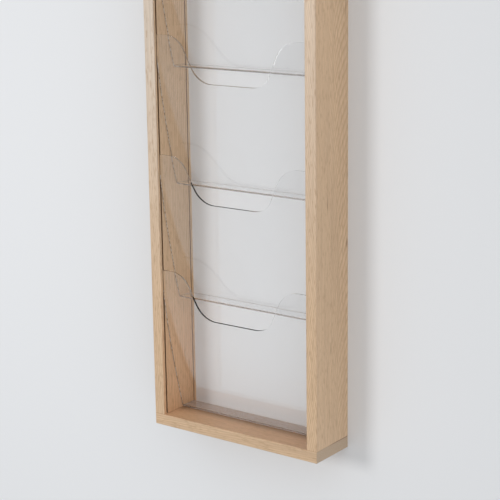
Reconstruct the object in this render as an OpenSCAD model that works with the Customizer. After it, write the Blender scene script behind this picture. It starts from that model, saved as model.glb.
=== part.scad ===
// Wall magazine rack: a wooden frame with clear sheet pockets held in its grooves.
// X runs to the right along the wall, Y into the wall and Z up.
// The origin lies on the wall plane, midway between the two keyhole entries.

/* [Frame] */
// Outside width of the frame
frame_w = 272; // [256:1:340]
// Depth of the boards from the wall to the front
frame_d = 74; // [66:1:96]
// Thickness of the two side boards
side_t = 16; // [14.5:0.5:20]
// Thickness of the top and bottom boards
end_t = 16; // [14:0.5:22]
// Easing radius of the boards' edges
ease_r = 0.8; // [0.6:0.1:2]
// Height above the top pocket's shelf left free below the top board
top_room = 320; // [240:5:400]

/* [Grooves] */
// Distance from a board's edge to the centre of the groove beside it
groove_inset = 6; // [5:0.5:9]
// Depth of the grooves in the side boards
groove_depth = 3; // [2:0.25:4]
// Play on each face of a sheet in its groove
groove_play = 0.2; // [0.1:0.05:0.5]
// Play between a sheet's edge and the bottom of its groove
groove_end_play = 0.4; // [0.2:0.1:0.8]

/* [Clear sheets] */
// Thickness of the pocket sheets and of the back sheet
sheet_t = 2.5; // [1.5:0.25:4]
// Gap between a pocket's side edge and the side board
edge_gap = 0.5; // [0.2:0.1:1.5]
// Gap above the back sheet below the top board
back_gap = 1; // [0.5:0.5:4]

/* [Pockets] */
// Height from one shelf to the next
pocket_pitch = 160; // [130:1:220]
// Height of the ears above the pocket's shelf
ear_h = 204; // [180:1:240]
// Height of the upright ear tab that sits in the front groove
tab_h = 28.5; // [15:0.5:36]
// Depth of the dip below the ears
dip_drop = 61.5; // [55:0.5:80]
// Width of the level stretch in the dip
dip_flat = 66; // [50:1:90]
// Radius where the edge turns into the dip
dip_r = 33; // [12:1:40]
// Radius where the edge turns over at an ear
ear_r = 34; // [15:1:40]
// Slope of the edge between the ear and the dip, in degrees
edge_slope = 64; // [56:1:75]
// Forward lean of the sheet just above its foot, in degrees
foot_lean = 15.5; // [13:0.5:18]
// Forward lean of the sheet just below its ear tabs, in degrees
head_lean = 8; // [5:0.5:10]
// Radius that brings the sheet upright below its ear tabs
head_r = 70; // [40:5:160]
// Inside radius of the bend at the foot
bend_r = 2; // [1.5:0.5:8]

/* [Corner joints] */
// Diameter of the dowels
dowel_d = 6; // [5:0.5:8]
// Length of the dowels
dowel_len = 30; // [24:1:40]
// Depth of a dowel in the bottom board
dowel_in_end = 10; // [6:0.5:11]
// Room for glue beyond each end of a dowel
dowel_end_room = 0.5; // [0.25:0.25:2]
// Distance between the two fasteners of a corner
corner_spacing = 32; // [20:1:44]
// Shank diameter of the top board's screws
screw_d = 4; // [3:0.25:5]
// Length of the top board's screws
screw_len = 40; // [35:1:60]
// Head diameter of the top board's screws
screw_head_d = 8; // [7:0.25:10]

/* [Hanging plates] */
// Width of a keyhole plate
plate_w = 10; // [9:0.25:11]
// Length of a keyhole plate
plate_len = 40; // [38:1:60]
// Thickness of a keyhole plate
plate_t = 1.5; // [1:0.25:2]
// Play round a plate in its recess
plate_play = 0.2; // [0.1:0.05:0.5]
// Distance of the plates' centre line from the sides' outer faces
plate_inset = 6.5; // [6:0.1:7]
// Diameter of the keyhole's entry
entry_d = 6.5; // [6:0.25:7]
// Width of the keyhole's slot
slot_w = 3.6; // [3:0.1:4]
// Rise from the entry's centre to the slot's upper end
slot_rise = 9; // [7:0.5:12]
// Room on each side of the entry for the wall screw's head behind the plate
head_room = 0.5; // [0.25:0.05:0.5]
// Depth of the hollow for the wall screw's head behind the plate
head_depth = 9; // [6:0.5:14]
// Distance between the two screws of a plate
plate_screw_spacing = 29; // [27:1:31]
// Shank diameter of a plate's screws
plate_screw_d = 2.6; // [2:0.1:3]
// Head diameter of a plate's screws
plate_screw_head_d = 5; // [4.5:0.1:5.5]
// Length of a plate's screws
plate_screw_len = 13; // [10:1:20]
// Play round a screw's shank in a clearance hole
screw_play = 0.2; // [0.1:0.05:0.4]
// Distance from the frame's top down to the keyhole entries
hang_drop = 70; // [60:1:140]

/* [Hidden] */

wood = [0.80, 0.67, 0.52];
clear = [0.86, 0.90, 0.93, 0.35];
dowel_wood = [0.86, 0.76, 0.62];
steel = [0.72, 0.73, 0.75];

pocket_count = 4;
shelf_first = end_t + sheet_t;
shelf_last = shelf_first + (pocket_count - 1) * pocket_pitch;
side_top = shelf_last + top_room;
frame_h = side_top + end_t;
hang_z = frame_h - hang_drop;

inner_w = frame_w - 2 * side_t;
groove_w = sheet_t + 2 * groove_play;
front_groove_y = groove_inset - frame_d;
back_groove_y = -groove_inset;
sheet_in_groove = groove_depth - groove_end_play;
back_face_y = back_groove_y - sheet_t / 2;
corner_y = -frame_d / 2;
side_mid_x = (frame_w - side_t) / 2;
plate_x = frame_w / 2 - plate_inset;
plate_mid_z = slot_rise / 2;

// How far a cut reaches past the face that it opens.
cut = 1;
// Sides of a small circle, and of the wide circles that the sheets follow.
fine = 96;
bow_fine = 2400;
// How far a stretch of a sheet's profile may stand off the next one where they lap.
lap_rise = 0.0005;
// How far the rounds of the S-shaped edge cross the straight lines that they meet.
crossing = 0.01;

// Path of the pocket sheet's middle surface, from the ear down to the shelf.
bend_mid_r = bend_r + sheet_t / 2;
tab_foot_z = ear_h - tab_h;
head_y = front_groove_y + head_r * (1 - cos(head_lean));
head_z = tab_foot_z - head_r * sin(head_lean);
bow_foot_z = bend_mid_r * (1 - sin(foot_lean)) - sheet_t / 2;
bow_r = (head_z - bow_foot_z) / (sin(foot_lean) - sin(head_lean));
bow_centre = [head_y + bow_r * cos(head_lean), head_z + bow_r * sin(head_lean)];
bow_foot_y = bow_centre[0] - bow_r * cos(foot_lean);
bend_centre = [bow_foot_y + bend_mid_r * cos(foot_lean), bend_mid_r - sheet_t / 2];

// Corners of the S-shaped edge, on the right half.
dip_z = ear_h - dip_drop;
dip_x = dip_flat / 2;
slope_low = [dip_x + dip_r * sin(edge_slope), dip_z + dip_r * (1 - cos(edge_slope))];
slope_top_z = ear_h - ear_r * (1 - cos(edge_slope));
slope_top = [slope_low[0] + (slope_top_z - slope_low[1]) / tan(edge_slope), slope_top_z];
ear_flat_x = slope_top[0] + ear_r * sin(edge_slope);

// Lowers what is built upwards from the frame's underside into the shared frame.
module above_floor() {
    translate([0, 0, -hang_z]) children();
}

// The same thing on the right and, mirrored, on the left.
module both_sides() {
    children();
    mirror([1, 0, 0]) children();
}

// Rectangle from the origin with all four corners rounded.
module rounded_rect(size, r) {
    translate([r, 0]) square([size[0] - 2 * r, size[1]]);
    translate([0, r]) square([size[0], size[1] - 2 * r]);
    for (x = [r, size[0] - r], y = [r, size[1] - r])
        translate([x, y]) circle(r, $fn = fine);
}

// Slot-shaped outline that runs from the origin up to a given rise.
module slot_outline(width, rise) {
    circle(width / 2, $fn = fine);
    translate([-width / 2, 0]) square([width, rise]);
    translate([0, rise]) circle(width / 2, $fn = fine);
}

// Places a front-view outline so that it runs from the wall plane forwards.
module forward(depth) {
    rotate([90, 0, 0]) linear_extrude(depth) children();
}

// Countersunk wood screw that points down, with its head's face at the origin.
module wood_screw(d, len, head_d) {
    r = d / 2;
    head_h = (head_d - d) / 2;
    rotate_extrude($fn = fine)
        polygon([[0, 0], [head_d / 2, 0], [r, -head_h], [r, d - len], [0, -len]]);
}

// Hole for a countersunk screw that points down through a board.
module screw_hole(d, len, head_d, play) {
    head_h = (head_d - d) / 2;
    translate([0, 0, -len]) cylinder(len + cut, d = d + 2 * play, $fn = fine);
    translate([0, 0, -head_h]) cylinder(head_h, d1 = d, d2 = head_d, $fn = fine);
    cylinder(cut, d = head_d, $fn = fine);
}

// Places of the two fasteners at the right-hand corner of an end board.
module corner_places() {
    for (y = [-1, 1])
        translate([side_mid_x, corner_y + y * corner_spacing / 2, 0]) children();
}

// Places of the two screws in the right-hand keyhole plate, pointing forwards.
module plate_screw_places() {
    for (z = [-1, 1])
        translate([plate_x, 0, hang_z + plate_mid_z + z * plate_screw_spacing / 2])
            rotate([-90, 0, 0]) children();
}

// Cross-section of the right side board, with its two grooves.
module side_section() {
    difference() {
        translate([inner_w / 2, -frame_d]) rounded_rect([side_t, frame_d], ease_r);
        for (y = [front_groove_y, back_groove_y])
            translate([inner_w / 2 - cut, y - groove_w / 2]) square([groove_depth + cut, groove_w]);
    }
}

// Round-ended outline of a keyhole plate, grown by the given play.
module plate_outline(grow) {
    width = plate_w + 2 * grow;
    span = plate_len - plate_w;
    translate([0, plate_mid_z - span / 2]) slot_outline(width, span);
}

// Recess for a keyhole plate, the hollow behind it and its screws' holes.
module plate_seat() {
    translate([plate_x, cut, hang_z]) {
        forward(plate_t + cut) plate_outline(plate_play);
        forward(plate_t + head_depth + cut) slot_outline(entry_d + 2 * head_room, slot_rise);
    }
    plate_screw_places()
        translate([0, 0, -plate_screw_len]) cylinder(plate_screw_len, d = plate_screw_d, $fn = fine);
}

// Right side board, with dowel holes below, pilot holes above and the plate's seat behind.
module side_board() {
    difference() {
        translate([0, 0, end_t]) linear_extrude(side_top - end_t) side_section();
        corner_places() {
            translate([0, 0, end_t - cut])
                cylinder(dowel_len - dowel_in_end + dowel_end_room + cut, d = dowel_d, $fn = fine);
            translate([0, 0, frame_h - screw_len]) cylinder(screw_len, d = screw_d, $fn = fine);
        }
        plate_seat();
    }
}

module left_side() {
    color(wood) above_floor() mirror([1, 0, 0]) side_board();
}

module right_side() {
    color(wood) above_floor() side_board();
}

// Profile of an end board whose lower two edges are eased.
module eased_section(size) {
    rounded_rect(size, ease_r);
    translate([0, ease_r]) square([size[0], size[1] - ease_r]);
}

// End board with its outer face down at the origin, eased round that face and at its corners.
module end_board() {
    intersection() {
        translate([-frame_w / 2, -frame_d, 0])
            linear_extrude(end_t) rounded_rect([frame_w, frame_d], ease_r);
        forward(frame_d) translate([-frame_w / 2, 0]) eased_section([frame_w, end_t]);
        translate([-frame_w / 2, -frame_d, 0])
            rotate([90, 0, 90]) linear_extrude(frame_w) eased_section([frame_d, end_t]);
    }
}

module bottom_board() {
    color(wood) above_floor() difference() {
        end_board();
        both_sides() corner_places()
            translate([0, 0, end_t - dowel_in_end - dowel_end_room])
                cylinder(dowel_in_end + dowel_end_room + cut, d = dowel_d, $fn = fine);
    }
}

module top_board() {
    color(wood) above_floor() difference() {
        translate([0, 0, frame_h]) mirror([0, 0, 1]) end_board();
        both_sides() corner_places()
            translate([0, 0, frame_h]) screw_hole(screw_d, screw_len, screw_head_d, screw_play);
    }
}

module back_sheet() {
    width = inner_w + 2 * sheet_in_groove;
    color(clear) above_floor()
        translate([-width / 2, back_face_y, end_t])
            cube([width, sheet_t, side_top - back_gap - end_t]);
}

// Part of the sheet's profile that turns from one lean to another round a centre.
// It runs on a little at both ends, so that it laps over the stretches beside it.
module arc_strip(centre, r, from, to, facets) {
    lap = acos(1 - lap_rise / r);
    start = from - lap;
    end = to + lap;
    reach = (r + sheet_t) / cos((end - start) / 2);
    translate(centre) intersection() {
        difference() {
            circle(r + sheet_t / 2, $fn = facets);
            circle(r - sheet_t / 2, $fn = facets);
        }
        polygon([[0, 0], -reach * [cos(start), sin(start)], -reach * [cos(end), sin(end)]]);
    }
}

// Side view of a pocket: ear tab, bowed front, bend and shelf.
module pocket_section() {
    translate([front_groove_y - sheet_t / 2, tab_foot_z]) square([sheet_t, tab_h]);
    arc_strip([front_groove_y + head_r, tab_foot_z], head_r, 0, head_lean, bow_fine);
    arc_strip(bow_centre, bow_r, head_lean, foot_lean, bow_fine);
    arc_strip(bend_centre, bend_mid_r, foot_lean, 90, fine);
    translate([bend_centre[0], -sheet_t]) square([back_face_y - bend_centre[0], sheet_t]);
}

// Opening above the S-shaped edge: straight slopes, rounded into the dip and over the ears.
module dip_outline() {
    difference() {
        polygon([
            [-dip_x, dip_z], [dip_x, dip_z], slope_low, slope_top, [ear_flat_x, ear_h],
            [ear_flat_x, ear_h + cut], [-ear_flat_x, ear_h + cut], [-ear_flat_x, ear_h],
            [-slope_top[0], slope_top[1]], [-slope_low[0], slope_low[1]]
        ]);
        for (x = [-ear_flat_x, ear_flat_x]) translate([x, ear_h - ear_r]) circle(ear_r + crossing, $fn = fine);
    }
    for (x = [-dip_x, dip_x]) translate([x, dip_z + dip_r]) circle(dip_r + crossing, $fn = fine);
}

// Front view of a pocket: body between the boards, ear tabs in the grooves, and the dip.
module pocket_outline() {
    body_w = inner_w - 2 * edge_gap;
    tabs_w = inner_w + 2 * sheet_in_groove;
    difference() {
        union() {
            translate([-body_w / 2, -sheet_t - cut]) square([body_w, ear_h + sheet_t + cut]);
            translate([-tabs_w / 2, tab_foot_z]) square([tabs_w, tab_h]);
        }
        dip_outline();
    }
}

// Pocket sheet with its shelf's upper face at the given number of pitches above the first.
module pocket(level) {
    color(clear) above_floor() translate([0, 0, shelf_first + level * pocket_pitch])
        intersection() {
            rotate([90, 0, 90]) linear_extrude(frame_w, center = true) pocket_section();
            forward(frame_d) pocket_outline();
        }
}

module bottom_dowels() {
    color(dowel_wood) above_floor() both_sides() corner_places()
        translate([0, 0, end_t - dowel_in_end]) cylinder(dowel_len, d = dowel_d, $fn = fine);
}

module top_screws() {
    color(steel) above_floor() both_sides() corner_places()
        translate([0, 0, frame_h]) wood_screw(screw_d, screw_len, screw_head_d);
}

// Keyhole plate in the right side's rear edge, flush with the wall plane.
module hanger_plate() {
    difference() {
        translate([plate_x, 0, hang_z]) forward(plate_t) difference() {
            plate_outline(0);
            circle(entry_d / 2, $fn = fine);
            slot_outline(slot_w, slot_rise);
        }
        plate_screw_places()
            screw_hole(plate_screw_d, plate_screw_len, plate_screw_head_d, screw_play);
    }
}

module left_hanger() {
    color(steel) above_floor() mirror([1, 0, 0]) hanger_plate();
}

module right_hanger() {
    color(steel) above_floor() hanger_plate();
}

module hanger_screws() {
    color(steel) above_floor() both_sides() plate_screw_places()
        wood_screw(plate_screw_d, plate_screw_len, plate_screw_head_d);
}

left_side();
right_side();
bottom_board();
top_board();
back_sheet();
pocket(0);  // pocket_1
pocket(1);  // pocket_2
pocket(2);  // pocket_3
pocket(3);  // pocket_4
bottom_dowels();
top_screws();
left_hanger();
right_hanger();
hanger_screws();
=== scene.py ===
# %% [markdown]
# # A wall magazine rack
# The rack is a tall, shallow frame of pale wood that hangs on a wall. Two side boards stand on a
# bottom board and carry a top board. Each side has two grooves: a clear back sheet slides in the
# rear pair, and the ears of four bowed clear pockets sit in the front pair.
# The boards come ready from the CAD model, so this lesson keeps them and gives them a wood finish.
# The pockets are made again here, because bent clear sheet needs smoother faces than CAD gives.

# %% Load the frame
import math

import bmesh
import bpy
import numpy as np
from mathutils import Matrix, Vector


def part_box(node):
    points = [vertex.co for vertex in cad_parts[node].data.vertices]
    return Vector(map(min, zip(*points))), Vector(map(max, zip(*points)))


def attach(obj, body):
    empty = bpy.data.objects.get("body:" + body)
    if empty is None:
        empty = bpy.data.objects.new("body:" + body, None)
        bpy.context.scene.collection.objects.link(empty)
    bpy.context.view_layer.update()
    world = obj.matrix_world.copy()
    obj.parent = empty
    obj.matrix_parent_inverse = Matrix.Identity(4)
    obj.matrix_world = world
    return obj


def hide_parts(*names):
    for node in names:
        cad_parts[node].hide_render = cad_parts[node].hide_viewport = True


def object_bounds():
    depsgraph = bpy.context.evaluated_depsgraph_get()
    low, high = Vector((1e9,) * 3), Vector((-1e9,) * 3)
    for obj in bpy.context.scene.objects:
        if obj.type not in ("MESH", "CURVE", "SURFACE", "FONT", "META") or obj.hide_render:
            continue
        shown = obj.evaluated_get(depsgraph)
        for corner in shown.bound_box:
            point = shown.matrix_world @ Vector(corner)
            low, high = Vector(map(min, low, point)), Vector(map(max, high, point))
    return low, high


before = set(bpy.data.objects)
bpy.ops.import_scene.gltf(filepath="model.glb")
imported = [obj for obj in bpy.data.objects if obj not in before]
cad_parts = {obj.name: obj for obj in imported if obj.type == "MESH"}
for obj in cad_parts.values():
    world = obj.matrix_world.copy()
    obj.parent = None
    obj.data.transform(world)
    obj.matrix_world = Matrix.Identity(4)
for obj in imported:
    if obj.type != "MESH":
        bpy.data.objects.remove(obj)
cad_low, cad_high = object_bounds()
scene = bpy.context.scene
MM = 0.001
print("CAD box in mm:", [round(v / MM, 1) for v in (*cad_low, *cad_high)])

# %% [markdown]
# ## Camera
# The picture looks at the lower part of the rack from its right, a little from above, and cuts off
# its top. The camera could be placed by eye, but board edges and shelf lines fix its place, turn
# and focal length well, so those numbers are written here. The roll is the slight tilt of the view.

# %% Camera
FRAME_PX = 500
FOCAL_PX = 1484.78
SENSOR = 36.0
TURN, DIP, ROLL = (math.radians(v) for v in (36.716, 13.514, -0.835))
EYE = Vector((1.15037, -1.57224, -0.04324))
NEAREST, FARTHEST = 0.05, 50

ahead = Vector((-math.sin(TURN) * math.cos(DIP), math.cos(TURN) * math.cos(DIP), -math.sin(DIP)))
level = Vector((math.cos(TURN), math.sin(TURN), 0))
above = level.cross(ahead)
right = level * math.cos(ROLL) + above * math.sin(ROLL)
upward = above * math.cos(ROLL) - level * math.sin(ROLL)

camera_data = bpy.data.cameras.new("camera")
camera_data.sensor_width = SENSOR
camera_data.lens = SENSOR * FOCAL_PX / FRAME_PX
camera_data.clip_start, camera_data.clip_end = NEAREST, FARTHEST
camera = bpy.data.objects.new("camera", camera_data)
scene.collection.objects.link(camera)
camera.matrix_world = Matrix.Translation(EYE) @ Matrix((right, upward, -ahead)).transposed().to_4x4()
scene.camera = camera
print("camera lens", round(camera_data.lens, 1), "mm")

# %% [markdown]
# ## Small helpers for node trees
# Every finish below is a node tree. It could be written node by node, which is long and hard to read.
# Helpers keep it short: one adds a node and fills its inputs, with either a plain value or another
# node's output, one does a line of arithmetic, and the others ramp a value and mix two colours.


# %% Node helpers
def put(tree, kind, inputs=None, out=0, **settings):
    """Adds a node, sets its properties, fills its inputs and returns the wanted output."""
    made = tree.nodes.new(kind)
    for name, value in settings.items():
        setattr(made, name, value)
    for name, value in (inputs or {}).items():
        if isinstance(value, bpy.types.NodeSocket):
            tree.links.new(value, made.inputs[name])
        else:
            made.inputs[name].default_value = value
    return made.outputs[out]


def calc(tree, operation, *values):
    """One arithmetic step on numbers or outputs."""
    return put(tree, "ShaderNodeMath", dict(enumerate(values)), operation=operation)


def ramp(tree, factor, low, high, start=0.0, end=1.0):
    """Runs smoothly from start to end while the factor goes from low to high."""
    return put(tree, "ShaderNodeMapRange", {"Value": factor, "From Min": low, "From Max": high,
                                            "To Min": start, "To Max": end},
               interpolation_type="SMOOTHSTEP")


def blend_colour(tree, factor, first, second, how="MIX"):
    """Mixes two colours, each a plain colour or an output."""
    mixed = tree.nodes.new("ShaderNodeMix")
    mixed.data_type, mixed.blend_type = "RGBA", how
    for place, value in ((0, factor), (6, first), (7, second)):
        if isinstance(value, bpy.types.NodeSocket):
            tree.links.new(value, mixed.inputs[place])
        else:
            mixed.inputs[place].default_value = value if place == 0 else (*value, 1)
    return mixed.outputs[2]


print("node helpers ready")

# %% [markdown]
# ## Finishes and who wears them
# A finish is a material with an empty tree that its own function fills. The other CAD pieces could be
# built again here too, as the pockets are. They are boards, plates, dowels, screws and a flat sheet,
# which need no smoother faces, so each keeps its shape and only changes its finish.


# %% Finish helpers
def new_finish(name):
    """An empty material: returns it, its tree and its output node."""
    material = bpy.data.materials.new(name)
    material.use_nodes = True
    material.node_tree.nodes.clear()
    return material, material.node_tree, material.node_tree.nodes.new("ShaderNodeOutputMaterial")


def wear(node_name, finish):
    """Gives a CAD node a finish in place of its plain colour."""
    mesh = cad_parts[node_name].data
    mesh.materials.clear()
    mesh.materials.append(finish)


print("finish helpers ready")

# %% [markdown]
# ## Wall
# The rack hangs on a pale wall, so a wall stands just behind it. It is no part of the object. A wall
# would hide the rear in views from behind, and shade it. It could be left out there, but a material
# does it with no change to the scene: it is clear from its back, and clear to light on its last few
# millimetres to the rear edges that lie against it.

# %% Wall
WALL_GAP = 0.6 * MM
CONTACT = 3.0 * MM
WALL_HALF = 6.0
WALL_COLOUR = (0.80, 0.805, 0.815, 1)
WALL_CORNERS = ((-1, -1), (1, -1), (1, 1), (-1, 1))


def wall_finish():
    """Matt paint that is clear from behind and to rays that have only just set out."""
    finish, tree, out = new_finish("wall")
    matt = put(tree, "ShaderNodeBsdfDiffuse", {"Color": WALL_COLOUR})
    clear = put(tree, "ShaderNodeBsdfTransparent")
    behind = put(tree, "ShaderNodeNewGeometry", out="Backfacing")
    touching = calc(tree, "LESS_THAN", put(tree, "ShaderNodeLightPath", out="Ray Length"), CONTACT)
    hidden = calc(tree, "MAXIMUM", behind, touching)
    tree.links.new(put(tree, "ShaderNodeMixShader", {0: hidden, 1: matt, 2: clear}), out.inputs[0])
    return finish


wall_mesh = bpy.data.meshes.new("wall")
wall_points = [(x * WALL_HALF, WALL_GAP, z * WALL_HALF) for x, z in WALL_CORNERS]
wall_mesh.from_pydata(wall_points, [], [(0, 1, 2, 3)])
wall_mesh.materials.append(wall_finish())
wall = bpy.data.objects.new("wall", wall_mesh)
scene.collection.objects.link(wall)
print("wall", 2 * WALL_HALF, "m wide")

# %% [markdown]
# ## Lamps
# The light follows the shadows in the picture. Beside the rack the shadow's edge tells where the main
# lamp stands, how high, and how wide it is. It could be a bare point of light, but that throws hard
# shadows, so it is a square panel. A second lamp stands behind the wall, for views of the rear.
# Clear sheet would show a lamp's image as a hard white spot on its edges, which the picture doesn't
# have, so the lamps can't be seen through it.

# %% Lamps
AIM = Vector((0, -0.03, -0.45))


def soft_lamp(name, place, size, watts):
    """A square area lamp that looks at the rack and isn't itself seen through clear sheet."""
    data = bpy.data.lights.new(name, "AREA")
    data.shape, data.size, data.energy = "SQUARE", size, watts
    lamp = bpy.data.objects.new(name, data)
    lamp.location = place
    lamp.visible_transmission = False
    lamp.rotation_euler = (AIM - Vector(place)).to_track_quat("-Z", "Y").to_euler()
    scene.collection.objects.link(lamp)


soft_lamp("key_lamp", (-0.70, -1.76, -0.25), size=0.48, watts=10.5)
soft_lamp("rear_lamp", (-1.2, 2.4, 0.6), size=1.6, watts=50)

# %% [markdown]
# ## Room
# A room gives soft light, most of it from the right and from above, and less from the front. More
# lamps could do that, but each would leave its own spot on the clear sheets. Broad lobes of sky light
# leave none. A narrower lobe is a pale floor to the left and in front, whose mirror image in the bowed
# sheets makes the pale veil with a slanting edge on the left board.

# %% Room
FROM_RIGHT, FROM_FRONT, FROM_ABOVE = 0.94, 0.36, 0.80
FLOOR_TOWARDS, FLOOR_GLOW, FLOOR_NARROW = Vector((-0.50, -0.45, -0.74)), 0.85, 6
# direction that a lobe lies in, its strength, and how narrow it is
LOBES = (
    ((1, 0, 0), FROM_RIGHT, 1),
    ((0, -1, 0), FROM_FRONT, 1),
    ((0, 0, 1), FROM_ABOVE, 1),
    (FLOOR_TOWARDS.normalized(), FLOOR_GLOW, FLOOR_NARROW),
)
ROOM_COLOUR = (0.96, 0.98, 1.0, 1)
PALE_BACKDROP = (0.78, 0.785, 0.79, 1)
CLEAR_LAYERS, BOUNCES = 32, 20

world = bpy.data.worlds.new("room")
scene.world = world
world.use_nodes = True
sky = world.node_tree
sky.nodes.clear()
look = put(sky, "ShaderNodeTexCoord", out="Generated")
glow = 0.0
for towards, share, narrow in LOBES:
    facing = put(sky, "ShaderNodeVectorMath", {0: look, 1: towards}, out="Value", operation="DOT_PRODUCT")
    lobe = calc(sky, "POWER", calc(sky, "MAXIMUM", facing, 0.0), narrow)
    glow = calc(sky, "MULTIPLY_ADD", lobe, share, glow)
path = sky.nodes.new("ShaderNodeLightPath")
seen = calc(sky, "MAXIMUM", path.outputs["Is Camera Ray"], path.outputs["Is Transmission Ray"])
room = put(sky, "ShaderNodeBackground", {"Color": ROOM_COLOUR, "Strength": glow})
pale = put(sky, "ShaderNodeBackground", {"Color": PALE_BACKDROP})
sky.links.new(put(sky, "ShaderNodeMixShader", {0: seen, 1: room, 2: pale}),
              sky.nodes.new("ShaderNodeOutputWorld").inputs[0])
scene.view_settings.view_transform = "Standard"
scene.cycles.transparent_max_bounces = CLEAR_LAYERS
scene.cycles.max_bounces = scene.cycles.transmission_bounces = BOUNCES
print("room light:", len(LOBES), "lobes")

# %% [markdown]
# ## Wood colours and noise
# The boards are pale, close-grained hardwood under a satin lacquer. A picture of wood wrapped round
# a board breaks at every edge. Here the wood is a solid block that each board is cut from, read in
# the board's own coordinates, so the lines run on from face to face as in a real plank.
# Its detail is noise, most of it drawn out along the grain, each kind by its own amount.

# %% Wood colours and noise
PALE_WOOD = (0.635, 0.447, 0.283)
LATE_WOOD = (0.470, 0.298, 0.160)
PINK_WOOD = (0.640, 0.436, 0.272)
# pale colour of the front edge near its top: a painted sheen of the lamp's reflection
PAINTED_SHEEN = (0.632, 0.528, 0.428)
FLECK_WOOD = (0.42, 0.265, 0.150)
# dark colour of the marks, and also painted shade in the seams between boards
MARK_AND_SEAM_SHADE = (0.21, 0.11, 0.06)
END_WOOD = (0.46, 0.355, 0.255)
# groove colour: painted shade on the walls of a groove, where little light reaches
GROOVE_SHADE = (0.15, 0.07, 0.03)
# warming factor for the inner faces low down: painted warm light bounced from the wood around them
PAINTED_BOUNCE_TINT = (1.11, 0.985, 0.90)
# blobs a metre across the grain and along it, detail, roughness, shift of the seed
WANDER = (9.0, 2.2, 1.0, 0.5, 0)
RIPPLE = (60.0, 6.0, 2.0, 0.5, 3)
FIBRE = (1500.0, 26.0, 3.0, 0.62, 7)
STREAK = (300.0, 5.0, 2.0, 0.6, 11)
CLOUD = (16.0, 3.0, 1.0, 0.5, 17)
FLECK = (520.0, 95.0, 1.5, 0.5, 23)
PORES = (900.0, 900.0, 2.0, 0.6, 31)


def grain_noise(tree, place, kind, seed):
    """Noise of one of the kinds above."""
    across, along, detail, rough, shift = kind
    stretch = {0: place, 1: (across, across, along)}
    stretched = put(tree, "ShaderNodeVectorMath", stretch, operation="MULTIPLY")
    return put(tree, "ShaderNodeTexNoise", {"Vector": stretched, "W": seed + shift, "Scale": 1.0,
                                            "Detail": detail, "Roughness": rough},
               noise_dimensions="4D")


print("kinds of wood noise:", len((WANDER, RIPPLE, FIBRE, STREAK, CLOUD, FLECK, PORES)))

# %% [markdown]
# ## Growth lines and other features of the boards
# Growth lines run along the grain near the front edge and lean more and more towards the rear edge,
# as on a board sawn from beside the heart. A few larger dark marks sit where the picture shows them,
# and the end grain is porous. Painted shade darkens the seam where one board meets the next, and the
# inside of a groove. They could be separate finishes, but a face often shows several at once, so each
# is a function that changes the colour it is given.

# %% Features of the wood
# growth lines a metre through the board, and how many lines the noises shift them by
EDGE_LINES, WANDER_LINES, RIPPLE_LINES = 320.0, 5.0, 0.9
LINE_DARKENS, LINE_ENDS = (0.42, 0.90), (1.0, 0.92)
MARK_FALL = -4.0
PORE_RANGE, END_LINES = (0.35, 0.7, 0.0, 0.55), 0.30
GROOVES = (-68.0 * MM, -6.0 * MM)
GROOVE_HALF, GROOVE_DEPTH, GROOVE_SHADE_SHARE = 1.7 * MM, 3.3 * MM, 0.85
GROOVE_FADE = (0.1 * MM, 0.6 * MM)
INNER_HALF = abs(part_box("left_side")[1].x)
# where the painted seam shade opens towards the wall, and how strong it is at each end
SEAM_OPENS = (-52.0 * MM, -28.0 * MM, 0.22, 0.85)
SEAM_FADE = (0.9 * MM, 0.2 * MM)
END_FADE = (0.5 * MM, 0.1 * MM)


def product(tree, first, second):
    """Two numbers or outputs multiplied."""
    return calc(tree, "MULTIPLY", first, second)


def growth_lines(tree, place, lean, spread, gap, seed):
    """Late wood of the growth lines: 1 in the dark part of a line, 0 in the pale part."""
    x, y, z = put(tree, "ShaderNodeSeparateXYZ", {0: place}).node.outputs
    wander = grain_noise(tree, place, WANDER, seed)
    ripple = grain_noise(tree, place, RIPPLE, seed)
    crowd = calc(tree, "EXPONENT", calc(tree, "DIVIDE", y, -spread))
    ring = calc(tree, "MULTIPLY_ADD", crowd, spread / gap, product(tree, z, lean / gap))
    ring = calc(tree, "MULTIPLY_ADD", x, EDGE_LINES, ring)
    ring = calc(tree, "MULTIPLY_ADD", wander, WANDER_LINES,
                calc(tree, "MULTIPLY_ADD", ripple, RIPPLE_LINES, ring))
    ring = calc(tree, "FRACT", ring)
    return product(tree, ramp(tree, ring, *LINE_DARKENS), ramp(tree, ring, *LINE_ENDS))


def add_marks(tree, colour, y, z, marks):
    """Soft spindle-shaped dark marks that lie along the grain."""
    for centre, length, width, strength in marks:
        off_y = calc(tree, "DIVIDE", calc(tree, "SUBTRACT", y, centre[0]), width)
        off_z = calc(tree, "DIVIDE", calc(tree, "SUBTRACT", z, centre[1]), length)
        far = calc(tree, "MULTIPLY_ADD", off_y, off_y, product(tree, off_z, off_z))
        mark = calc(tree, "EXPONENT", product(tree, far, MARK_FALL))
        colour = blend_colour(tree, product(tree, mark, strength), colour, MARK_AND_SEAM_SHADE)
    return colour


def add_end_grain(tree, colour, place, z, late, ends, seed):
    """Porous, darker wood on the faces across the grain."""
    pores = grain_noise(tree, place, PORES, seed)
    porous = blend_colour(tree, ramp(tree, pores, *PORE_RANGE), END_WOOD, FLECK_WOOD)
    porous = blend_colour(tree, product(tree, late, END_LINES), porous, FLECK_WOOD)
    on_end = ramp(tree, calc(tree, "ABSOLUTE", z), *(ends - fade for fade in END_FADE))
    return blend_colour(tree, on_end, colour, porous)


def add_seam_shade(tree, colour, y, up, joints):
    """Painted shade in the narrow gaps at the heights where boards meet, more open towards the wall."""
    for joint in joints:
        away = calc(tree, "ABSOLUTE", calc(tree, "SUBTRACT", up, joint))
        seam = product(tree, ramp(tree, away, *SEAM_FADE), ramp(tree, y, *SEAM_OPENS))
        colour = blend_colour(tree, seam, colour, MARK_AND_SEAM_SHADE)
    return colour


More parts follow.
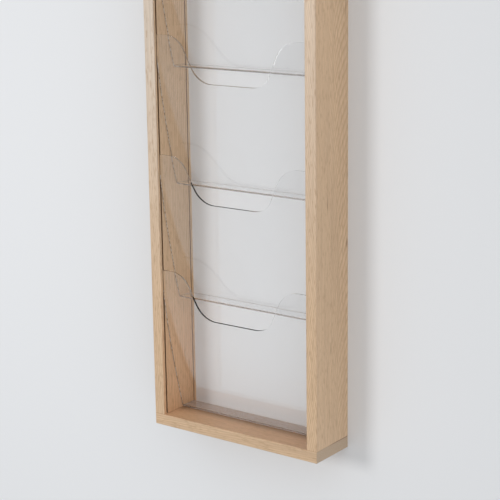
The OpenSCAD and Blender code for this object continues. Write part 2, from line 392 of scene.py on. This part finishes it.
def add_groove_shade(tree, colour, x, y):
    """Painted shade on the wood inside the two grooves of a side board."""
    sunk = calc(tree, "SUBTRACT", calc(tree, "ABSOLUTE", x), INNER_HALF)
    below_face = ramp(tree, sunk, *GROOVE_FADE)
    in_groove = product(tree, below_face, calc(tree, "LESS_THAN", sunk, GROOVE_DEPTH))
    for groove in GROOVES:
        off = calc(tree, "ABSOLUTE", calc(tree, "SUBTRACT", y, groove))
        dark = product(tree, calc(tree, "LESS_THAN", off, GROOVE_HALF), in_groove)
        colour = blend_colour(tree, product(tree, dark, GROOVE_SHADE_SHARE), colour, GROOVE_SHADE)
    return colour


print("grooves at", [round(y / MM) for y in GROOVES], "mm, inner faces at", round(INNER_HALF / MM), "mm")

# %% [markdown]
# ## The wood finish
# Lacquered wood is a colour, a gloss and a fine relief. One flat colour would look like paint, so the
# colour starts from the growth lines, then takes pink streaks, a painted sheen that pales the front
# edge towards its top, fibres, clouds, short flecks and a painted warm glow of bounced light low on
# the inner faces, and at last the features above. Lines, fibres and flecks are in the relief too, so
# that lamps catch them as on a real board.

# %% The wood finish
FRONT_STRIP = (-71.5 * MM, -73.5 * MM)
# heights over which the painted sheen rises up the front edge
SHEEN_RISE = (-660.0 * MM, -180.0 * MM)
# heights and skin of the painted warm bounce light on the inner faces
PAINTED_BOUNCE_FALL = (-500.0 * MM, -680.0 * MM)
PAINTED_BOUNCE_SKIN = (0.3 * MM, 0.1 * MM)
# noise at the start and at the end, and what it gives at each
CLOUD_DEPTH, PINK_RANGE = (0.3, 0.7, 0.60, 1.0), (0.30, 0.72, 0.0, 0.75)
FIBRE_SHADE, STREAK_SHADE = (0.25, 0.75, 0.88, 1.10), (0.3, 0.75, 1.07, 0.92)
CLOUD_SHADE, SATIN = (0.3, 0.7, 0.96, 1.04), (0.2, 0.8, 0.46, 0.36)
FLECK_RANGE, FLECK_STRENGTH = (0.50, 0.72), 0.60
LINE_RELIEF, FLECK_RELIEF = -0.35, -0.8
RELIEF_STRENGTH, RELIEF_DEPTH = 0.22, 0.10 * MM


def wood(name, grain="Z", lean=0.05, spread=0.20, gap=5 * MM, seed=0.0, sheen=0.0, marks=(), joints=(),
         ends=None, inside=None):
    """Solid wood with its grain along Z or X.

    gap is the space between growth lines at the rear edge and lean their slope there. Both shrink
    towards the front, over a distance of about spread. seed picks the noise. sap is how much a painted
    sheen pales the front edge towards its top, marks are dark spindles, joints the heights of seams that
    get painted shade, ends the distance from the middle to the end grain, and inside the distance to
    the inner face, which gets a painted warm glow of bounced light low down.
    """
    finish, tree, out = new_finish(name)
    place = put(tree, "ShaderNodeTexCoord", out="Object")
    up = put(tree, "ShaderNodeSeparateXYZ", {0: place}, out="Z")
    if grain == "X":
        place = put(tree, "ShaderNodeMapping", {"Vector": place, "Rotation": (0, math.pi / 2, 0)})
    x, y, z = put(tree, "ShaderNodeSeparateXYZ", {0: place}).node.outputs
    late = growth_lines(tree, place, lean, spread, gap, seed)
    fibre = grain_noise(tree, place, FIBRE, seed)
    streak = grain_noise(tree, place, STREAK, seed)
    cloud = grain_noise(tree, place, CLOUD, seed)
    fleck = ramp(tree, grain_noise(tree, place, FLECK, seed), *FLECK_RANGE)

    depth = product(tree, late, ramp(tree, cloud, *CLOUD_DEPTH))
    colour = blend_colour(tree, depth, PALE_WOOD, LATE_WOOD)
    colour = blend_colour(tree, ramp(tree, streak, *PINK_RANGE), colour, PINK_WOOD)
    # painted sheen: the front edge turns paler towards its top
    paler = product(tree, ramp(tree, y, *FRONT_STRIP), ramp(tree, z, *SHEEN_RISE, 0.0, sheen))
    colour = blend_colour(tree, paler, colour, PAINTED_SHEEN)
    shade = ramp(tree, fibre, *FIBRE_SHADE)
    shade = product(tree, shade, ramp(tree, streak, *STREAK_SHADE))
    shade = product(tree, shade, ramp(tree, cloud, *CLOUD_SHADE))
    grey = put(tree, "ShaderNodeCombineColor", {0: shade, 1: shade, 2: shade})
    colour = blend_colour(tree, 1.0, colour, grey, "MULTIPLY")
    colour = blend_colour(tree, product(tree, fleck, FLECK_STRENGTH), colour, FLECK_WOOD)
    # painted warm bounce light on the inner face, strongest low down
    if inside:
        on_face = ramp(tree, calc(tree, "ABSOLUTE", x), *(inside + skin for skin in PAINTED_BOUNCE_SKIN))
        warm = product(tree, on_face, ramp(tree, up, *PAINTED_BOUNCE_FALL))
        colour = blend_colour(tree, warm, colour, PAINTED_BOUNCE_TINT, "MULTIPLY")
    colour = add_marks(tree, colour, y, z, marks)
    if ends:
        colour = add_end_grain(tree, colour, place, z, late, ends, seed)
    # painted shade in the seams where boards meet
    colour = add_seam_shade(tree, colour, y, up, joints)
    # painted shade inside the grooves of the side boards
    if grain == "Z":
        colour = add_groove_shade(tree, colour, x, y)

    height = calc(tree, "MULTIPLY_ADD", fleck, FLECK_RELIEF, fibre)
    height = calc(tree, "MULTIPLY_ADD", late, LINE_RELIEF, height)
    bump = put(tree, "ShaderNodeBump", {"Strength": RELIEF_STRENGTH, "Distance": RELIEF_DEPTH,
                                        "Height": height})
    gloss = ramp(tree, fibre, *SATIN)
    surface = put(tree, "ShaderNodeBsdfPrincipled", {"Base Color": colour, "Roughness": gloss, "Normal": bump,
                                                     "Specular IOR Level": 0.5})
    tree.links.new(surface, out.inputs[0])
    return finish


print("wood finish ready")

# %% [markdown]
# ## Dressing the boards
# Each board comes from its own plank, so each has its own seed, slope and spacing of growth lines.
# The right board's lines slant most, as in the picture. Noise could scatter its dark marks, but the eye
# tells planks apart by them, so they are listed one by one.

# %% Boards
HALF_W = cad_high.x
LOW_JOINT, HIGH_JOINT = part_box("left_side")[0].z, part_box("left_side")[1].z
JOINTS = (LOW_JOINT, HIGH_JOINT)
# place across and along the board, length and width in metres, and strength
RIGHT_MARKS = (
    ((-0.0403, -0.619), 0.014, 0.0016, 0.60),
    ((-0.0478, -0.425), 0.020, 0.0018, 0.55),
    ((-0.0030, -0.484), 0.011, 0.0026, 0.90),
    ((-0.0063, -0.182), 0.018, 0.0018, 0.50),
    ((-0.0202, -0.448), 0.011, 0.0016, 0.40),
    ((-0.0490, -0.647), 0.020, 0.0016, 0.30),
)
wear("left_side", wood("satin_wood_left", lean=0.10, spread=0.09, gap=6 * MM, seed=2.0, sheen=0.9,
                       joints=JOINTS, inside=INNER_HALF))
wear("right_side", wood("satin_wood_right", lean=0.62, spread=0.038, gap=10 * MM, seed=5.0, sheen=0.4,
                        joints=JOINTS, marks=RIGHT_MARKS))
wear("bottom_board", wood("satin_wood_bottom", "X", lean=0.08, spread=0.15, seed=9.0,
                          joints=JOINTS, ends=HALF_W, inside=-LOW_JOINT))
wear("top_board", wood("satin_wood_top", "X", lean=-0.06, spread=0.12, seed=13.0,
                       joints=JOINTS, ends=HALF_W))
wear("bottom_dowels", wood("dowel_wood", gap=2 * MM, seed=21.0))
print("boards finished:", [m.name for m in bpy.data.materials if "wood" in m.name])

# %% [markdown]
# ## Clear sheet
# The back and the pockets are clear plastic. Real glass shaders bend light, which shows the sheet's
# edges and reflections well, but lamps then can't shine through them and the wall behind goes dark.
# So lamps and bounced light meet a plain clear film instead, and only what is seen is bent.
# The cut upper edge is a little frosted. The lowest shelf looks milky in the picture, so a share of its
# top is white: a painted reflection of the pale wall.

# %% Clear finishes
SHEET_IOR = 1.49
FILM = (0.998, 0.998, 0.998, 1)
FACE_TINT, EDGE_TINT = (0.958, 0.961, 0.963), (0.93, 0.92, 0.94)
# white that stands for a painted reflection of the pale wall in the lowest shelf
REFLECTION_WHITE = (0.80, 0.78, 0.77, 1)
FACE_ROUGH, FACE_WAVES = 0.008, 0.003
WAVES_A_METRE, WAVE_DEPTH = 14.0, 0.3 * MM
HAZE_A_METRE, HAZE_RANGE = 60.0, (0.3, 0.7)
LEAST_ROUGH, MOST_ROUGH = 0.6, 1.4


def clear_sheet(name, tint, roughness, waviness, plain=0.0, reflection_share=0.0):
    """Clear plastic that lets lamps through.

    plain is the share of it that doesn't bend light, scuffs the share that is white: a painted reflection of
    the pale wall.
    """
    finish, tree, out = new_finish(name)
    place = put(tree, "ShaderNodeTexCoord", out="Object")
    waves = put(tree, "ShaderNodeTexNoise", {"Vector": place, "Scale": WAVES_A_METRE, "Detail": 1.0})
    bump = put(tree, "ShaderNodeBump", {"Strength": waviness, "Distance": WAVE_DEPTH, "Height": waves})
    haze = put(tree, "ShaderNodeTexNoise", {"Vector": place, "Scale": HAZE_A_METRE, "Detail": 3.0})
    rough = ramp(tree, haze, *HAZE_RANGE, roughness * LEAST_ROUGH, roughness * MOST_ROUGH)
    body = put(tree, "ShaderNodeBsdfPrincipled", {
        "Base Color": (*tint, 1), "Roughness": rough, "IOR": SHEET_IOR, "Transmission Weight": 1.0,
        "Normal": bump})
    # white share: a painted reflection of the pale wall
    white = put(tree, "ShaderNodeBsdfDiffuse", {"Color": REFLECTION_WHITE})
    body = put(tree, "ShaderNodeMixShader", {0: reflection_share, 1: body, 2: white})
    film = put(tree, "ShaderNodeBsdfTransparent", {"Color": FILM})
    ray = tree.nodes.new("ShaderNodeLightPath")
    lamp_ray = calc(tree, "MAXIMUM", ray.outputs["Is Shadow Ray"], ray.outputs["Is Diffuse Ray"])
    lamp_ray = calc(tree, "MAXIMUM", lamp_ray, plain)
    tree.links.new(put(tree, "ShaderNodeMixShader", {0: lamp_ray, 1: body, 2: film}), out.inputs[0])
    return finish


clear_face = clear_sheet("clear_sheet", FACE_TINT, FACE_ROUGH, FACE_WAVES)
clear_edge = clear_sheet("cut_edge", EDGE_TINT, roughness=0.10, waviness=0.0, plain=0.50)
shelf_with_painted_reflection = clear_sheet("shelf_with_painted_reflection", FACE_TINT, FACE_ROUGH, FACE_WAVES, reflection_share=0.18)
wear("back_sheet", clear_face)
print("clear finishes:", [m.name for m in (clear_face, clear_edge, shelf_with_painted_reflection)])

# %% [markdown]
# ## Sawn edges and the bond line
# A pocket's two side edges stay as the saw left them: matt, with dark and pale grit, which also stands
# in as painted dark reflections and painted glints along the edge. The shelf's rear edge is bonded to
# the back sheet, and the cement shows as a thin brownish line. A clear finish would make both vanish,
# so they have plain ones.

# %% Sawn edge and bond
# grit colours, also painted dark reflections and pale glints along the edge
SAWN_GRIT_AND_DARK_REFLECTION, SAWN_GRIT_AND_GLINT = (0.25, 0.18, 0.13), (0.58, 0.52, 0.46)
CEMENT, CEMENT_FILM = (0.40, 0.33, 0.29, 1), (0.9, 0.88, 0.86, 1)
CEMENT_CLEAR = 0.5
GRIT_A_METRE, GRIT_RANGE = 260.0, (0.42, 0.58)


def sawn_finish():
    """Matt edge with the grit of a saw cut, whose dark and pale spots are also painted reflections and
    glints.
    """
    finish, tree, out = new_finish("sawn_edge")
    place = put(tree, "ShaderNodeTexCoord", out="Object")
    grit = put(tree, "ShaderNodeTexNoise", {"Vector": place, "Scale": GRIT_A_METRE, "Detail": 2.0})
    tint = blend_colour(tree, ramp(tree, grit, *GRIT_RANGE), SAWN_GRIT_AND_DARK_REFLECTION, SAWN_GRIT_AND_GLINT)
    tree.links.new(put(tree, "ShaderNodeBsdfDiffuse", {"Color": tint}), out.inputs[0])
    return finish


def bond_finish():
    """Thin cement, half of it clear."""
    finish, tree, out = new_finish("bond_line")
    cement = put(tree, "ShaderNodeBsdfDiffuse", {"Color": CEMENT})
    thin = put(tree, "ShaderNodeBsdfTransparent", {"Color": CEMENT_FILM})
    tree.links.new(put(tree, "ShaderNodeMixShader", {0: CEMENT_CLEAR, 1: cement, 2: thin}), out.inputs[0])
    return finish


sawn_edge = sawn_finish()
bond = bond_finish()
print("edge finishes:", [m.name for m in (sawn_edge, bond)])

# %% [markdown]
# ## The pocket's bends
# Each pocket is one sheet. Its maker saws a flat blank with a dip between two ears, warms it, and
# bends it: a tight bend for the shelf, a long shallow bow, and upright ears with tabs for the grooves.
# The bent shape could be drawn point by point. It is made here as in the workshop, so first comes the
# list of bends, from which the blank's length follows.

# %% The bends
SHEET = 2.5 * MM
GAP = 0.05 * MM
BACK_FACE = -7.25 * MM - GAP
FRONT_GROOVE = GROOVES[0]
EAR_TOP, TAB_FOOT = 204.0 * MM, 175.5 * MM
HEAD_R, HEAD_LEAN = 70.0 * MM, math.radians(8)
FOOT_LEAN = math.radians(15.5)
BEND_R = 2.0 * MM + SHEET / 2

head_y = FRONT_GROOVE + HEAD_R * (1 - math.cos(HEAD_LEAN))
head_z = TAB_FOOT - HEAD_R * math.sin(HEAD_LEAN)
bow_z = BEND_R * (1 - math.sin(FOOT_LEAN)) - SHEET / 2
bow_r = (head_z - bow_z) / (math.sin(FOOT_LEAN) - math.sin(HEAD_LEAN))
bow_y = head_y + bow_r * (math.cos(HEAD_LEAN) - math.cos(FOOT_LEAN))
shelf_length = BACK_FACE - (bow_y + BEND_R * math.cos(FOOT_LEAN))
# (start, length, lean at the start, radius), from the shelf's rear end up to the ears; no radius is straight
bends, start = [], 0.0
for length, lean, radius in (
    (shelf_length, math.pi / 2, None),
    (BEND_R * (math.pi / 2 - FOOT_LEAN), math.pi / 2, BEND_R),
    (bow_r * (FOOT_LEAN - HEAD_LEAN), FOOT_LEAN, bow_r),
    (HEAD_R * HEAD_LEAN, HEAD_LEAN, HEAD_R),
    (EAR_TOP - TAB_FOOT, 0.0, None),
):
    bends.append((start, length, lean, radius))
    start += length
blank_length = start
bow_start, tab_start = bends[2][0], bends[4][0]
print("blank:", round(blank_length / MM, 1), "mm long, bow radius", round(bow_r / MM), "mm")

# %% [markdown]
# ## The S-shaped edge
# Seen from the front, the upper edge is level in the dip, turns up a straight slope and turns over at
# the ear. The saw cuts it on the flat blank, so each height has to be turned into a distance along
# the sheet. That could be solved for each bend, but a fine table of heights along it does it at once.

# %% The S-shaped edge
DIP_LOW, DIP_HALF, DIP_R = 142.5 * MM, 33.0 * MM, 33.0 * MM
EAR_R, EDGE_SLOPE = 34.0 * MM, math.radians(64)
TABLE_STEPS = 4000

slope_low = (DIP_HALF + DIP_R * math.sin(EDGE_SLOPE), DIP_LOW + DIP_R * (1 - math.cos(EDGE_SLOPE)))
slope_top_z = EAR_TOP - EAR_R * (1 - math.cos(EDGE_SLOPE))
slope_top_x = slope_low[0] + (slope_top_z - slope_low[1]) / math.tan(EDGE_SLOPE)
ear_flat_x = slope_top_x + EAR_R * math.sin(EDGE_SLOPE)


def height_along(s):
    """Height of the sheet's middle over the shelf's top, at a distance along the sheet."""
    z = -SHEET / 2
    for first, length, lean, radius in bends:
        t = min(max(s - first, 0.0), length)
        z += t * math.cos(lean) if radius is None else radius * (math.sin(lean) - math.sin(lean - t / radius))
    return z


def edge_height(x):
    """Height of the sheet's upper edge: dip, rounded slopes, ears."""
    x = abs(x)
    if x <= DIP_HALF:
        return DIP_LOW
    if x <= slope_low[0]:
        return DIP_LOW + DIP_R - math.sqrt(DIP_R**2 - (x - DIP_HALF) ** 2)
    if x <= slope_top_x:
        return slope_low[1] + (x - slope_low[0]) * math.tan(EDGE_SLOPE)
    if x <= ear_flat_x:
        return EAR_TOP - EAR_R + math.sqrt(max(EAR_R**2 - (ear_flat_x - x) ** 2, 0.0))
    return EAR_TOP


samples = np.linspace(bow_start, blank_length, TABLE_STEPS)
heights = np.array([height_along(s) for s in samples])


def edge_along(x):
    """Distance along the sheet at which the upper edge is cut."""
    return float(np.interp(edge_height(x), heights, samples))


print("dip cut at", round(edge_along(0) / MM, 1), "mm along the blank")

# %% [markdown]
# ## The flat blank
# The blank could be a square grid cut along the S-shaped edge, which needs many faces to look smooth.
# Here each column of the grid ends on that edge, so fewer are enough. The body is a little narrower
# than the room between the boards, and only the two ear tabs are wide enough to reach into the grooves.

# %% The flat blank
BODY_HALF, TAB_HALF = 119.5 * MM, 122.6 * MM
DIP_COLUMNS, EAR_COLUMNS = 9, 5
SLOPE_FROM, SLOPE_TO, SLOPE_COLUMNS = 34.0 * MM, 109.0 * MM, 76
EAR_FROM = 111.0 * MM
SHELF_ROWS, BEND_ROWS, BOW_ROWS, TAB_ROWS = 5, 13, 41, 9
SEARCH_TO, SEARCH_STEPS = 120.0 * MM, 8701
SAME_PLACE = 1e-6

half = np.concatenate([np.linspace(0, DIP_HALF, DIP_COLUMNS),
                       np.linspace(SLOPE_FROM, SLOPE_TO, SLOPE_COLUMNS),
                       np.linspace(EAR_FROM, BODY_HALF, EAR_COLUMNS)])
search = np.linspace(DIP_HALF, SEARCH_TO, SEARCH_STEPS)
ear_start = next(x for x in search if edge_along(x) >= tab_start - SAME_PLACE)
half = np.unique(np.append(half, ear_start))
columns = np.concatenate([-half[:0:-1], half])
bend_rows = np.concatenate([np.linspace(0, shelf_length, SHELF_ROWS)[:-1],
                            np.linspace(shelf_length, bow_start, BEND_ROWS)])
blank = bmesh.new()


def strip(across, rows_at):
    """A grid of faces: one row of points for each column, joined to the next."""
    lines = [[blank.verts.new((x, s, 0)) for s in rows_at(x)] for x in across]
    for left, beside in zip(lines, lines[1:]):
        for a, b, c, d in zip(left, beside, beside[1:], left[1:]):
            blank.faces.new((a, b, c, d))


def body_rows(x):
    """Rows of a column from the shelf's rear end up to the edge or to the ear tabs."""
    return [*bend_rows, *np.linspace(bow_start, min(edge_along(x), tab_start), BOW_ROWS)[1:]]


def tab_rows(x):
    """Rows of a column within an ear tab."""
    return np.linspace(tab_start, max(edge_along(x), tab_start), TAB_ROWS)


strip(columns, body_rows)
for hand in (-1, 1):
    strip(sorted(hand * x for x in [*half[half >= ear_start], TAB_HALF]), tab_rows)
bmesh.ops.remove_doubles(blank, verts=blank.verts, dist=SAME_PLACE)
bmesh.ops.dissolve_degenerate(blank, edges=blank.edges, dist=SAME_PLACE / 10)
bmesh.ops.recalc_face_normals(blank, faces=blank.faces)
blank_mesh = bpy.data.meshes.new("flat_blank")
blank.to_mesh(blank_mesh)
blank.free()
print("blank:", len(blank_mesh.polygons), "faces")

# %% [markdown]
# ## Bending the blank
# Along the blank the lean falls from lying flat at the shelf to upright at the ears. Each stretch is
# straight or an arc, so its share of depth and height has a short formula, and the tree below adds
# up the five shares for every point. A copy could be drawn for each pocket, but one tree with three
# settings serves all four.

# %% The bending tree
bender = bpy.data.node_groups.new("bend_blank", "GeometryNodeTree")
face = bender.interface
face.new_socket("Geometry", in_out="INPUT", socket_type="NodeSocketGeometry")
shelf_height = face.new_socket("Shelf height", in_out="INPUT", socket_type="NodeSocketFloat").identifier
rear_face = face.new_socket("Rear face", in_out="INPUT", socket_type="NodeSocketFloat").identifier
sheet_finish = face.new_socket("Finish", in_out="INPUT", socket_type="NodeSocketMaterial").identifier
face.new_socket("Geometry", in_out="OUTPUT", socket_type="NodeSocketGeometry")
given = bender.nodes.new("NodeGroupInput").outputs
point = put(bender, "GeometryNodeInputPosition")
across, along, _ = put(bender, "ShaderNodeSeparateXYZ", {0: point}).node.outputs
depth = given["Rear face"]
height = calc(bender, "SUBTRACT", given["Shelf height"], SHEET / 2)
for first, length, lean, radius in bends:
    past = calc(bender, "MAXIMUM", calc(bender, "SUBTRACT", along, first), 0.0)
    t = calc(bender, "MINIMUM", past, length)
    if radius is None:
        depth = calc(bender, "MULTIPLY_ADD", t, -math.sin(lean), depth)
        height = calc(bender, "MULTIPLY_ADD", t, math.cos(lean), height)
    else:
        angle = calc(bender, "SUBTRACT", lean, calc(bender, "DIVIDE", t, radius))
        turn = calc(bender, "SUBTRACT", math.cos(lean), calc(bender, "COSINE", angle))
        rise = calc(bender, "SUBTRACT", math.sin(lean), calc(bender, "SINE", angle))
        depth = calc(bender, "MULTIPLY_ADD", turn, radius, depth)
        height = calc(bender, "MULTIPLY_ADD", rise, radius, height)
moved = put(bender, "ShaderNodeCombineXYZ", {0: across, 1: depth, 2: height})
bent = put(bender, "GeometryNodeSetPosition", {"Geometry": given["Geometry"], "Position": moved})
bent = put(bender, "GeometryNodeRealizeInstances", {0: bent})
bent = put(bender, "GeometryNodeSetMaterial", {"Geometry": bent, "Material": given["Finish"]})
bender.links.new(bent, bender.nodes.new("NodeGroupOutput").inputs[0])
print("bending tree:", len(bender.nodes), "nodes")

# %% [markdown]
# ## Four pockets
# Each pocket takes a copy of the blank, is bent, and gets its thickness from Solidify, which puts the
# cut edge's finish on the rim. The result becomes a plain mesh, and faces that are sawn, bonded or on
# the lowest shelf's top, which gets a painted reflection, change their finish by where they lie and
# which way they look. A pocket could sit exactly at its CAD place, but it floats a hair over it and
# off the back sheet, so that it shares no plane with the sheet or the bottom board.

# %% Four pockets
POCKETS = 4
FINISHES = (clear_face, clear_edge, sawn_edge, bond, shelf_with_painted_reflection)
RIM, SAWN, BOND, PAINTED_REFLECTION = range(1, len(FINISHES))
SQUARE_ON = 0.99
CREASE = math.radians(35)


def settle(maker, name):
    """Turns what an object's modifiers make into a plain mesh object of its own."""
    made = bpy.data.meshes.new_from_object(maker.evaluated_get(bpy.context.evaluated_depsgraph_get()))
    bpy.data.objects.remove(maker)
    made.name = name
    piece = bpy.data.objects.new(name, made)
    scene.collection.objects.link(piece)
    return piece


def soften(piece):
    """Smooth shading, with a crease wherever faces meet at a wide angle."""
    shape = bmesh.new()
    shape.from_mesh(piece.data)
    bmesh.ops.recalc_face_normals(shape, faces=shape.faces)
    for side in shape.faces:
        side.smooth = True
    for edge in shape.edges:
        edge.smooth = len(edge.link_faces) == 2 and edge.calc_face_angle() < CREASE
    shape.to_mesh(piece.data)
    shape.free()


def bend_pocket(node, shelf_top):
    """One pocket, bent from the blank and thickened."""
    maker = bpy.data.objects.new("maker", blank_mesh.copy())
    scene.collection.objects.link(maker)
    for finish in FINISHES:
        maker.data.materials.append(finish)
    bending = maker.modifiers.new("bend", "NODES")
    bending.node_group = bender
    bending[shelf_height] = shelf_top + GAP
    bending[rear_face] = BACK_FACE
    bending[sheet_finish] = clear_face
    thick = maker.modifiers.new("thick", "SOLIDIFY")
    thick.thickness, thick.offset, thick.use_even_offset = SHEET, 0.0, True
    thick.material_offset_rim = RIM
    return settle(maker, f"clear_{node}")


for number in range(1, POCKETS + 1):
    node = f"pocket_{number}"
    shelf_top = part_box(node)[0].z + SHEET
    pocket = bend_pocket(node, shelf_top)
    for side in pocket.data.polygons:
        if abs(side.normal.x) > SQUARE_ON:
            side.material_index = SAWN
        elif side.normal.y > SQUARE_ON and side.center.y > BACK_FACE - SHEET / 2:
            side.material_index = BOND
        # the lowest shelf's top gets the painted reflection of the wall
        elif number == 1 and side.normal.z > SQUARE_ON and side.center.z < shelf_top + SHEET:
            side.material_index = PAINTED_REFLECTION
    soften(pocket)
    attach(pocket, "root")
    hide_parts(node)
    print(pocket.name, len(pocket.data.polygons), "faces")

# %% [markdown]
# ## Steel
# The keyhole plates and screws are zinc-plated steel: a cool grey metal with a fine, cloudy lustre.
# A plain grey would look like plastic, so a fine noise moves its colour, gloss and relief together.

# %% Steel finish
ZINC_DARK, ZINC_PALE = (0.52, 0.53, 0.55), (0.68, 0.69, 0.70)
CLOUDS_A_METRE, CLOUDY_RANGE = 420.0, (0.3, 0.7)
ZINC_GLOSS = (0.28, 0.45)
STEEL_NODES = ("left_hanger", "right_hanger", "top_screws", "hanger_screws")


def zinc_finish():
    """Cloudy zinc plating."""
    finish, tree, out = new_finish("zinc_steel")
    place = put(tree, "ShaderNodeTexCoord", out="Object")
    cloudy = put(tree, "ShaderNodeTexNoise", {"Vector": place, "Scale": CLOUDS_A_METRE, "Detail": 4.0,
                                              "Roughness": 0.6})
    tint = blend_colour(tree, ramp(tree, cloudy, *CLOUDY_RANGE), ZINC_DARK, ZINC_PALE)
    bump = put(tree, "ShaderNodeBump", {"Strength": 0.15, "Distance": 0.05 * MM, "Height": cloudy})
    gloss = ramp(tree, cloudy, *CLOUDY_RANGE, *ZINC_GLOSS)
    surface = put(tree, "ShaderNodeBsdfPrincipled", {"Base Color": tint, "Metallic": 1.0, "Normal": bump,
                                                     "Roughness": gloss})
    tree.links.new(surface, out.inputs[0])
    return finish


steel = zinc_finish()
for name in STEEL_NODES:
    wear(name, steel)
print("steel worn by", len(STEEL_NODES), "nodes")
